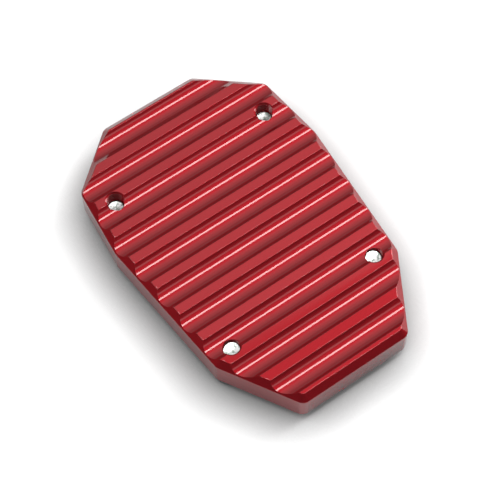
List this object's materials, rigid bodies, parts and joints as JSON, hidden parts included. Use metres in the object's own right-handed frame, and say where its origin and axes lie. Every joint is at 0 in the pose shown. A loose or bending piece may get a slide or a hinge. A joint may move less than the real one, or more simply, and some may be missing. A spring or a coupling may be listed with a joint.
{
  "type": "kickstand foot enlarger",
  "caption": "Grooved red aluminium ground plate with a slotted clamp bracket screwed under it, widening the foot of a motorbike side stand.",
  "frame": {"origin": "middle of the plate's outline, on the bracket's outer face, which is the lowest face as it lies", "axes": "+X across the plate along its grooves, +Y along the plate towards its narrower end with the open slot, +Z out of the grooved ground face"},
  "size_m": [0.0618, 0.0924, 0.0126],
  "materials": {
    "anodised_red": "satin red anodised",
    "anodised_black": "satin black anodised",
    "zinc_steel": "bright zinc plated"
  },
  "bodies": {
    "root": {"ground_plate": "anodised_red", "clamp_bracket": "anodised_black", "clamp_screws": "zinc_steel"}
  },
  "joints": []
}
